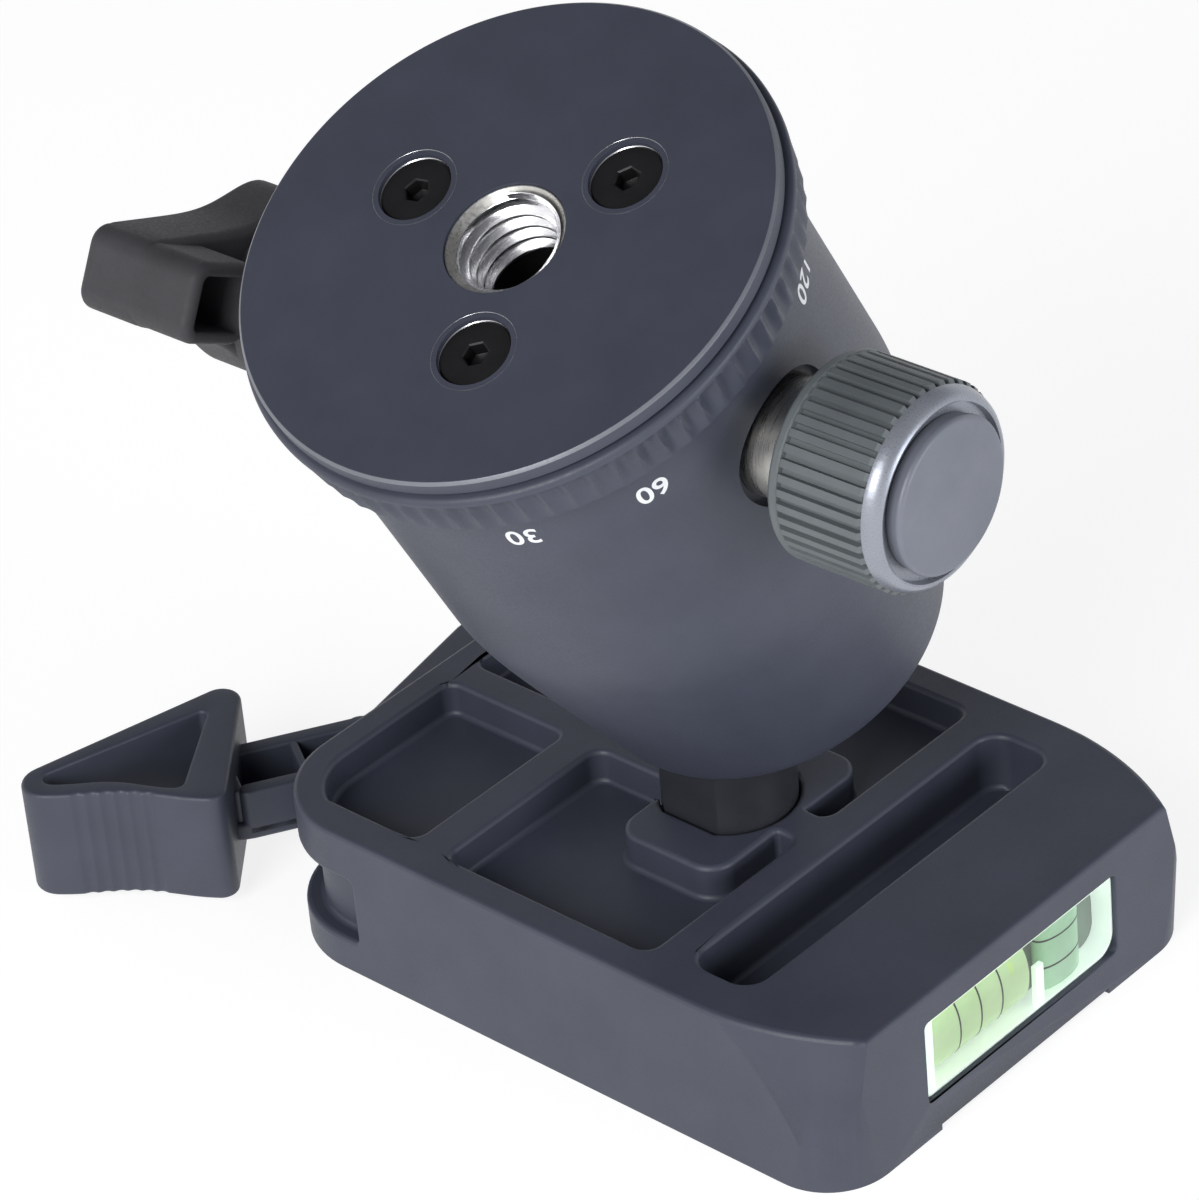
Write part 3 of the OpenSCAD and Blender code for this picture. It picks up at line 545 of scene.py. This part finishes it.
def lever_piece():
    """Lever: hub, cam, arm with a channel in its top, and the loop-shaped grip with its ribbed, wavy face."""
    bm = bmesh.new()
    arm_root, arm_end, arm_r = Vector((-37.6, -5.8)), Vector((-45.6, -18.6)), 4.15
    ear, pivot, cam = (-41.8, 11.5, 3.2), (-30.0, 15.0, 8.5), (-23.4, 12.5, 3.6)
    cam_root = (-30.0, 15.0, 6.0)
    rounded_slab(bm, hull_outline([(*arm_root, arm_r), pivot, ear]), LEVER_LOW, LEVER_TOP, 0.5)
    rounded_slab(bm, hull_outline([cam, cam_root]), LEVER_LOW, LEVER_TOP, 0.3)
    # Arm, with the walls of its channel
    way = (arm_root - arm_end).normalized()
    side = Vector((-way.y, way.x))
    rounded_slab(bm, hull_outline([(*arm_end, arm_r), (*arm_root, arm_r)]), LEVER_LOW, -1.6, 0.5)
    for sign in (1, -1):
        wall = [(*(p + side * sign * 3.3), 0.85) for p in (arm_end, arm_root + way * 2)]
        rounded_slab(bm, hull_outline(wall), -3.0, LEVER_TOP, 0.35)
    for place, half in ((-0.9, 0.55), (5.9, 0.4), (12.6, 1.4)):
        rib = [(*(arm_end + way * place + side * reach), half) for reach in (-2.9, 2.9)]
        rounded_slab(bm, hull_outline(rib, straight=6), -2.5, 1.95, 0.25)
    # Grip
    outer = hull_outline([(-56.0, -33.1, 2.6), (-42.4, -25.3, 1.6), (-52.0, -14.2, 2.0)], straight=160)
    inner = hull_outline([(-55.9, -32.5, 1.0), (-46.0, -26.3, 0.9), (-51.7, -17.2, 0.6)], straight=160)
    shaped, hole = [], []
    ribs, rib_depth, ribs_from, ribs_span = 6, 0.17, 0.16, 0.52
    for point, normal, straight, share in outer:
        push = 0.0
        if straight == 0:
            push = 0.85 * math.sin(math.pi * share) ** 2
            place = (share - ribs_from) / ribs_span
            if 0 < place < 1:
                push += rib_depth * (0.5 - 0.5 * math.cos(2 * math.pi * ribs * place)) ** 0.8
        shaped.append((point - normal * push, normal, straight, share))
    for point, normal, straight, share in inner:
        push = 0.7 * math.sin(math.pi * share) ** 2 if straight == 0 else 0.0
        hole.append((point - normal * push, normal, straight, share))
    rounded_slab(bm, shaped, -6.7, 5.0, 0.45, hole, 0.35)
    return add_piece("lever_arm", bm, "lever", SATIN, None, 40, ("lever",))


lever_piece()

# ---- Knobs ----

def wing_knob():
    """Soft wing knob along its shaft: two wings with hollow sides, an open skirt under each tip, and the hub."""
    out, reach, tip, corner, wall, trim = 46.8, 20.2, 3.75, 1.9, 1.25, 0.06
    skirt_in, skirt_corner, edge = 8.5, 2.0, 0.9

    def half_width(x):
        return tip + 0.12 * (reach - math.hypot(x, 1.0)) + 2.4 * math.exp(-(x / 5.0) ** 2)

    def corner_points(x, y, start, steps=8):
        angles = [math.radians(start + 90 * k / steps) for k in range(steps + 1)]
        return [(x + corner * math.cos(a), y + corner * math.sin(a)) for a in angles]

    bm = bmesh.new()
    end = reach - trim - corner
    width = half_width(reach - corner) - corner - trim
    side = [end - 2 * end * k / 96 for k in range(1, 96)]
    plan = corner_points(end, -width, -90) + corner_points(end, width, 0)
    plan += [(x, half_width(x)) for x in side]
    plan += corner_points(-end, width, 90) + corner_points(-end, -width, 180)
    plan += [(-x, -half_width(x)) for x in side]
    rounded_slab(bm, smooth_outline(plan), out - 7.2, out, edge)
    for sign in (1, -1):
        far, near, wide = reach - corner, reach - skirt_in + skirt_corner, tip - corner
        ends = [(far, wide, corner), (near, tip - skirt_corner, skirt_corner),
                (near, skirt_corner - tip, skirt_corner), (far, -wide, corner)]
        skirt = hull_outline([(sign * x, sign * y, r) for x, y, r in ends])
        hollow = hull_outline([(sign * x, sign * y, r - wall) for x, y, r in ends])
        rounded_slab(bm, skirt, out - 13.4, out - 0.6, edge, hollow)
    lathe(bm, [(5.2, 26.0), (7.6, 26.0), (8.0, 26.4), (8.0, out - 2.0), (5.2, out - 2.0)], 96)
    place = LOCK_SHAFT @ Matrix.Rotation(math.radians(1.3), 4, "Z")
    return add_piece("wing_grip", bm, "lock_knob", RUBBER, place, 50, ("lock_knob",))


wing_knob()


# ---- Base ----

def base_profile():
    """Disc with a bevelled face, open in the middle for the threaded bore."""
    bore, bevel = 5.55, 0.28
    return rounded([
        (bore, PLATE_LOW), (PLATE_HUB_R, PLATE_LOW), (PLATE_HUB_R, BASE_H - 1.8), (BASE_R - 0.4, BASE_H - 1.8),
        (BASE_R, BASE_H - 1.4), (BASE_R, BASE_H - bevel, 0.1), (BASE_R - bevel, BASE_H, 0.1), (bore, BASE_H),
    ])


def cut_countersinks(obj):
    """Holes for the three base screws, with their countersinks."""
    low, high, top = BASE_H - 2.45, BASE_H - 0.6, BASE_H + 1
    hole, head = 1.6, 3.35
    for i in range(3):
        a = math.radians(SCREW_TURN + 120 * i)
        bm = lathe(bmesh.new(), [(0, low - 5), (hole, low - 5), (hole, low), (hole, low), (head, high),
                                 (head, top), (0, top)], 64)
        carve(obj, bm, Matrix.Translation(polar(SCREW_CIRCLE, a, 0)))


plate_mesh = bpy.data.meshes.new("base_disc")
bm = lathe(bmesh.new(), base_profile(), 288)
bmesh.ops.recalc_face_normals(bm, faces=bm.faces)
bm.to_mesh(plate_mesh)
bm.free()
plate = bpy.data.objects.new("base_disc", plate_mesh)
bpy.context.scene.collection.objects.link(plate)
cut_countersinks(plate)
plate.data.name = "base_disc"
plate.data.materials.append(SATIN)
plate.data.materials.append(EDGE)
for face in plate.data.polygons:
    r = math.hypot(face.center.x, face.center.y) / MM
    h = face.center.z / MM
    if r > BASE_R - 0.27 and h > BASE_H - 0.27:
        face.material_index = 1
plate.matrix_world = HEAD
bpy.context.view_layer.update()
finish_mesh(plate, 30)
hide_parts("base_plate")
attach(plate, "base")


def screw_place(i):
    return HEAD @ Matrix.Translation(polar(SCREW_CIRCLE, math.radians(SCREW_TURN + 120 * i), 0.0))


for i in range(3):
    turned_piece(
        f"countersink_edge_{i + 1}",
        [(3.27, BASE_H - 0.56), (3.84, BASE_H + 0.012), (3.88, BASE_H + 0.012), (3.88, BASE_H - 0.1),
         (3.4, BASE_H - 0.6)],
        "base", BRIGHT, screw_place(i), 64)


def socket_screw(i):
    """Countersunk screw with a hexagon socket; each row is (r, h, whether the ring is a hexagon)."""
    bm = bmesh.new()
    count = 60
    flats = 1.0
    loops = []

    def hexagon(angle, apothem):
        sector = (angle + math.pi / 6) % (math.pi / 3) - math.pi / 6
        return apothem / math.cos(sector)

    rows = [
        (1.5, -11.6, 0), (1.5, -2.5, 0), (3.1, -0.85, 0), (3.24, -0.7, 0), (3.24, -0.5, 0), (3.1, -0.38, 0),
        (1.62, -0.35, 0), (flats + 0.12, -0.4, 1), (flats, -0.52, 1), (flats, -1.8, 1), (0.5, -2.05, 0),
    ]
    for r, h, is_hex in rows:
        angles = [2 * math.pi * k / count for k in range(count)]
        loops.append([bm.verts.new(polar(hexagon(a, r) if is_hex else r, a, BASE_H + h)) for a in angles])
    for low, high in zip(loops, loops[1:]):
        bridge(bm, low, high)
    bm.faces.new(list(reversed(loops[0])))
    bm.faces.new(loops[-1])
    place = screw_place(i) @ Matrix.Rotation(math.radians(17 + 23 * i), 4, "Z")
    return add_piece(f"base_screw_{i + 1}", bm, "base", OXIDE, place, 30,
                     ("base_screws",) if i == 0 else ())


for i in range(3):
    socket_screw(i)


def internal_thread(name, body, place, radius, crest, low, high):
    """Helical ridge on the wall of a bore, with its crest at radius crest."""
    bm = bmesh.new()
    per_turn = 72
    turns = (high - low) / THREAD_PITCH
    total = int(per_turn * turns)
    rows = []
    for k in range(total + 1):
        t = k / total
        a = 2 * math.pi * turns * t
        h = low + (high - low) * t
        fade = min(1.0, (total - k) / (0.35 * per_turn), k / (0.2 * per_turn) + 0.05)
        top = radius - (radius - crest) * max(fade, 0.02)
        section = [(radius + 0.04, -0.70), (radius - 0.02, -0.66), (top + 0.05, -0.16), (top, -0.08), (top, 0.08),
                   (top + 0.05, 0.16), (radius - 0.02, 0.66), (radius + 0.04, 0.70)]
        rows.append([bm.verts.new(polar(r, a, h + dh)) for r, dh in section])
    for one, two in zip(rows, rows[1:]):
        bridge(bm, one, two)
    bm.faces.new(rows[0])
    bm.faces.new(list(reversed(rows[-1])))
    return add_piece(name, bm, body, BRIGHT, place, 40)


internal_thread("tripod_thread", "base", HEAD, THREAD_R, 4.02, BASE_H - 7.9, BASE_H - 1.0)

# Bright lining of the threaded bore, with its countersunk mouth
turned_piece(
    "bore_lining",
    [(BORE_R, BORE_LOW), (4.70, BORE_LOW), (4.70, BASE_H - 1.05), (BORE_R, BASE_H - 1.0)],
    "base", BRIGHT, segments=144)
# The mouth's chamfer takes the lighter satin copy, which is painted light.
turned_piece(
    "bore_mouth", [(4.74, BASE_H - 1.04), (5.40, BASE_H - 0.34), (5.45, BASE_H - 0.28), (5.45, BASE_H - 0.4)],
    "base", SATIN_PAINTED_LIGHT, segments=144)
# Black sleeve and floor deep in the bore: painted shade for the dark depth of the hole.
turned_piece(
    "bore_floor_painted_shade", [(0, BASE_H - 12.0), (4.60, BASE_H - 12.0), (4.60, BORE_LOW), (BORE_R, BORE_LOW),
                    (BORE_R, BASE_H - 12.2), (0, BASE_H - 12.2)],
    "base", OXIDE, segments=96)


def flute_ring():
    """Ring that narrows a little to the housing, with scooped flutes under a smooth lip."""
    bm = bmesh.new()
    flutes, per_flute = 72, 10
    count = flutes * per_flute
    high = BASE_H - 1.85
    lip = high - 0.75
    low, low_r = PLATE_LOW - 0.1, 24.3
    inside = PLATE_HUB_R + 0.05
    rows = [(inside, high, 0), (RING_R - 0.5, high, 0), (RING_R - 0.15, high - 0.12, 0), (RING_R, high - 0.35, 0),
            (RING_R, lip, 0)]
    for step, share in ((0.0, 0.1), (0.05, 0.5), (0.12, 0.85), (0.25, 1.0), (0.45, 0.95), (0.65, 0.75), (0.82, 0.5),
                        (0.93, 0.3), (1.0, 0.2)):
        rows.append((RING_R - 0.05 + (low_r - RING_R) * step, lip + (low - lip) * step, share))
    rows += [(low_r - 0.3, low - 0.2, 0.1), (23.0, low - 0.25, 0), (23.0, PLATE_LOW + 0.2, 0),
             (inside, PLATE_LOW + 0.2, 0)]
    loops = []
    for r, h, share in rows:
        loop = []
        for k in range(count):
            a = 2 * math.pi * k / count
            scoop = 0.5 - 0.5 * math.cos(2 * math.pi * k / per_flute)
            loop.append(bm.verts.new(polar(r - 0.6 * share * scoop ** 0.7, a, h)))
        loops.append(loop)
    for i, one in enumerate(loops):
        bridge(bm, one, loops[(i + 1) % len(loops)])
    return add_piece("fluted_grip", bm, "base", SATIN, HEAD, 40, ("fluted_ring",))


flute_ring()


# ---- Housing ----

def housing_r(h):
    """Radius of the housing: straight in the middle, flared up to the collar, drawn in to the mouth."""
    up = max(0.0, h - FLARE_H)
    down = max(0.0, TAPER_H - h)
    flare, slope, blend = 0.35, 0.2235, 4.0
    return (
        HOUSING_R
        + flare * (up / (COLLAR_TOP - FLARE_H)) ** 2
        - slope * (math.sqrt(down * down + blend * blend) - blend)
    )


def housing_shell():
    outside = [(housing_r(COLLAR_TOP) - 0.25, COLLAR_TOP), (housing_r(COLLAR_TOP - 0.25), COLLAR_TOP - 0.25)]
    steps = 44
    low = -MOUTH_H + 0.8
    for k in range(1, steps + 1):
        h = COLLAR_TOP - 0.25 + (low - COLLAR_TOP + 0.25) * k / steps
        outside.append((housing_r(h), h))
    edge = housing_r(low)
    lip = [(edge - 0.12, low - 0.35), (edge - 0.4, low - 0.65), (edge - 0.8, low - 0.8)]
    inside = [(15.1, -MOUTH_H), (14.8, 0.3 - MOUTH_H), (12.9, -8.6), (13.4, -7.55), (15.9, -7.55), (15.9, 14.0),
              (18.2, 14.0), (18.2, COLLAR_TOP - 2.8), (20.0, COLLAR_TOP - 2.8), (20.0, COLLAR_TOP)]
    return outside + lip + inside


shell = turned_piece(
    "housing_shell", housing_shell(), "housing", SATIN, segments=240, replaces=("housing",))
recess = [(0, RECESS_FLOOR), (RECESS_R, RECESS_FLOOR), (RECESS_R, 30.0), (0, 30.0)]
carve(shell, lathe(bmesh.new(), recess, 64), FRICTION_SHAFT)
finish_mesh(shell)


def scale_number(text, phi, height):
    """White number that lies on the housing, upright when the base is down."""
    curve = bpy.data.curves.new("scale_" + text, "FONT")
    curve.body = text
    curve.size = 2.95 * MM
    curve.align_x = "CENTER"
    curve.align_y = "CENTER"
    curve.offset = 0.055 * MM
    curve.space_character = 1.05
    holder = bpy.data.objects.new("scale_text", curve)
    bpy.context.scene.collection.objects.link(holder)
    bpy.context.view_layer.update()
    mesh = bpy.data.meshes.new_from_object(holder.evaluated_get(bpy.context.evaluated_depsgraph_get()))
    bpy.data.objects.remove(holder)
    bm = bmesh.new()
    bm.from_mesh(mesh)
    bpy.data.meshes.remove(mesh)
    bmesh.ops.remove_doubles(bm, verts=bm.verts, dist=1e-7)
    bmesh.ops.triangulate(bm, faces=bm.faces)
    long_edges = [e for e in bm.edges if e.calc_length() > 0.5 * MM]
    bmesh.ops.subdivide_edges(bm, edges=long_edges, cuts=1)
    bmesh.ops.triangulate(bm, faces=bm.faces)
    for vert in bm.verts:
        h = height - vert.co.y / MM
        r = housing_r(h) + 0.02
        a = math.radians(phi) - vert.co.x / MM / r
        vert.co = Vector((r * math.cos(a), r * math.sin(a), h)) * MM
    return add_piece(f"scale_{text}", bm, "housing", PAINT, HEAD)


for value in (30, 60, 120, 150, 180, 210, 240, 270, 300, 330):
    scale_number(str(value), value - SCALE_TURN, SCALE_H)

# ---- Friction knob ----

def knurled_barrel():
    """Barrel of the friction knob: a profile of (r, h, whether it is grooved), with a bright rim at its end."""
    bm = bmesh.new()
    grooves, depth = 44, 0.5
    # One groove about its middle, as (share of the pitch, whether on the groove's floor)
    marks = [(-0.30, 0), (-0.24, 0), (-0.20, 1), (0.20, 1), (0.24, 0), (0.30, 0)]
    pitch = 2 * math.pi / grooves
    inner, outer, low, high = 5.1, FRICTION_R, FRICTION_IN, FRICTION_OUT
    rows = [
        (inner, low + 0.9, 0), (inner, low, 0), (outer - 0.5, low, 0), (outer - 0.15, low + 0.1, 0),
        (outer, low + 0.35, 0), (outer, low + 0.85, 0), (outer - 0.1, low + 1.0, 0), (outer, low + 1.15, 1),
        (outer, high - 1.75, 1), (outer - 0.28, high - 1.5, 0), (outer - 0.3, high - 1.35, 0),
        (outer - 0.38, high - 1.0, 0), (outer - 0.65, high - 0.45, 0), (outer - 0.95, high - 0.12, 0),
        (outer - 1.2, high, 0), (outer - 1.38, high - 0.06, 0), (outer - 1.45, high - 0.3, 0),
        (outer - 1.5, high - 0.75, 0), (0.0, high - 0.75, 0),
    ]
    loops = []
    for r, h, grooved in rows:
        if r == 0:
            loops.append([bm.verts.new((0, 0, h * MM))])
            continue
        loops.append([
            bm.verts.new(polar(r - depth * (grooved and deep), pitch * (i + share), h))
            for i in range(grooves) for share, deep in marks
        ])
    for one, two in zip(loops, loops[1:]):
        for k in range(len(one)):
            j = (k + 1) % len(one)
            face_once(bm, (one[k], one[j], two[j % len(two)], two[k % len(two)]))
    count = len(loops[0])
    centre = bm.verts.new((0, 0, (low + 0.9) * MM))
    for k in range(count):
        bm.faces.new((centre, loops[0][(k + 1) % count], loops[0][k]))
    obj = add_piece("friction_grip", bm, "friction_knob", [KNURL, KNOB_RIM], FRICTION_SHAFT, 28,
                    ("friction_knob",))
    for face in obj.data.polygons:
        if face.center.z / MM > high - 1.62:
            face.material_index = 1


knurled_barrel()
# The end cap takes the lighter satin copy, which paints on the light from the side.
turned_piece(
    "friction_end",
    rounded([(0, FRICTION_OUT - 0.6), (6.75, FRICTION_OUT - 0.6), (7.05, FRICTION_OUT + 1.0, 0.45),
             (0, FRICTION_OUT + 1.0)]),
    "friction_knob", SATIN_PAINTED_LIGHT, FRICTION_SHAFT, 144, replaces=("friction_cap",))
turned_piece(
    "friction_shaft",
    rounded([(0, 5.0), (0.9, 5.0), (3.1, 9.3), (3.1, 22.7), (5.25, 22.7), (5.25, 20.8), (5.4, 20.8), (5.4, 25.65),
             (5.25, 25.8), (4.7, 25.95), (4.7, FRICTION_IN + 0.85), (0, FRICTION_IN + 0.85)]),
    "friction_knob", SHAFT, FRICTION_SHAFT, 120, replaces=("friction_screw",))


# ---- Level ----

def box_piece(name, low, high, body, mat):
    """Box between the corners low and high."""
    bm = bmesh.new()
    bmesh.ops.create_cube(bm, size=1.0)
    for vert in bm.verts:
        vert.co = Vector([
            (low[i] + high[i]) / 2 + vert.co[i] * (high[i] - low[i]) for i in range(3)
        ]) * MM
    return add_piece(name, bm, body, mat)


def level_outline(inset):
    """Outline of the level's clear block on the end face, as (y, z)."""
    corners = ((-13.4, -4.05, 0.7), (13.4, -4.05, 2.3), (13.4, 4.25, 0.5), (-13.4, 4.25, 0.5))
    return hull_outline([
        (y - math.copysign(r, y), z - math.copysign(r, z), r - inset) for y, z, r in corners
    ], 10, 6)


bm = bmesh.new()
rounded_slab(bm, level_outline(0.0), 22.55, 33.28, 0.2)
add_piece("level_glass", bm, "clamp", ACRYLIC, FACE, replaces=("level_block",))
# The walls, rim and post below glow with painted light.
bm = bmesh.new()
rounded_slab(bm, level_outline(0.14), 27.5, 33.1, 0.02, level_outline(0.32), 0.02)
add_piece("level_walls", bm, "clamp", LEVEL_GLOWING_WHITE, FACE)
bm = bmesh.new()
rounded_slab(bm, level_outline(0.14), 27.3, 27.5, 0.02)
add_piece("level_back", bm, "clamp", LEVEL_BACK, FACE)
box_piece("level_rim", (32.7, -13.2, -3.6), (33.05, -12.1, 4.0), "clamp", LEVEL_GLOWING_WHITE)
box_piece("level_post", (31.8, 2.3, -3.85), (33.05, 3.4, 0.6), "clamp", LEVEL_GLOWING_WHITE)


def vial_lines(name, places, turn):
    """Black lines round a vial; each place is the middle of one line."""
    bm = bmesh.new()
    for place in places:
        part = lathe(bmesh.new(), [(2.94, -0.09), (2.985, -0.09), (2.985, 0.09), (2.94, 0.09)], 64)
        part.transform(Matrix.Translation(Vector(place) * MM) @ turn)
        mesh = bpy.data.meshes.new("part")
        part.to_mesh(mesh)
        part.free()
        bm.from_mesh(mesh)
        bpy.data.meshes.remove(mesh)
    return add_piece(name, bm, "clamp", BLACK_LINE)


ALONG_Y = Matrix.Rotation(math.radians(90), 4, "X")
vial_lines("long_vial_lines", [(29.4, y, 0.1) for y in (-7.9, -4.95, -2.0)], ALONG_Y)
vial_lines("cross_vial_lines", [(29.4, 6.9, z) for z in (1.9, -1.1)], Matrix.Identity(4))
bubble = [(0, -1.9), (1.5, -1.75), (2.05, -1.2), (2.25, 0), (2.05, 1.2), (1.5, 1.75), (0, 1.9)]
turned_piece("long_vial_bubble", bubble, "clamp", BUBBLE,
             Matrix.Translation(Vector((29.95, -0.35, 0.6)) * MM) @ ALONG_Y, 64)

# ---- Floor, backdrop and light ----

floor_mesh = bpy.data.meshes.new("floor")
bm = bmesh.new()
bmesh.ops.create_grid(bm, x_segments=1, y_segments=1, size=4.0)
bm.to_mesh(floor_mesh)
bm.free()
floor = bpy.data.objects.new("floor", floor_mesh)
floor.location.z = FLOOR_Z * MM
bpy.context.scene.collection.objects.link(floor)
floor_mat, _, _ = material(
    "floor", Base_Color=(0.3, 0.3, 0.3, 1), Roughness=1.0, Specular_IOR_Level=0.0, Emission_Color=(1, 1, 1, 1),
    Emission_Strength=0.82)
floor_mesh.materials.append(floor_mat)

world = bpy.data.worlds.new("world")
bpy.context.scene.world = world
world.use_nodes = True
sky = world.node_tree
background = sky.nodes["Background"]
sky_coord = sky.nodes.new("ShaderNodeTexCoord")
split = sky.nodes.new("ShaderNodeSeparateXYZ")
sky.links.new(sky_coord.outputs["Generated"], split.inputs["Vector"])
sky_ramp = sky.nodes.new("ShaderNodeValToRGB")
stops = sky_ramp.color_ramp.elements
stops[0].position = 0.0
stops[0].color = (1.0, 1.0, 1.0, 1)
stops[1].position = 0.9
stops[1].color = (0.05, 0.052, 0.058, 1)
for place, grey in ((0.25, 0.80), (0.5, 0.21)):
    stop = stops.new(place)
    stop.color = (grey, grey * 1.01, grey * 1.04, 1)
sky.links.new(split.outputs["Z"], sky_ramp.inputs["Fac"])
sky.links.new(sky_ramp.outputs["Color"], background.inputs["Color"])
background.inputs["Strength"].default_value = 1.15


def area_light(name, place, size, power, colour=(1, 1, 1)):
    """Rectangular light that faces the middle of the part."""
    target = (0, 0, 0.03)
    data = bpy.data.lights.new(name, "AREA")
    data.shape = "RECTANGLE"
    data.size, data.size_y = size
    data.energy = power
    data.color = colour
    light = bpy.data.objects.new(name, data)
    bpy.context.scene.collection.objects.link(light)
    light.location = place
    aim = Vector(target) - Vector(place)
    light.rotation_euler = aim.to_track_quat("-Z", "Y").to_euler()


area_light("key", (0.15, -0.80, 0.50), (0.45, 0.45), 6.0)
area_light("side", (0.90, 0.10, 0.22), (0.4, 0.4), 3.2, (0.90, 0.95, 1.0))

bpy.context.scene.view_settings.view_transform = "Standard"
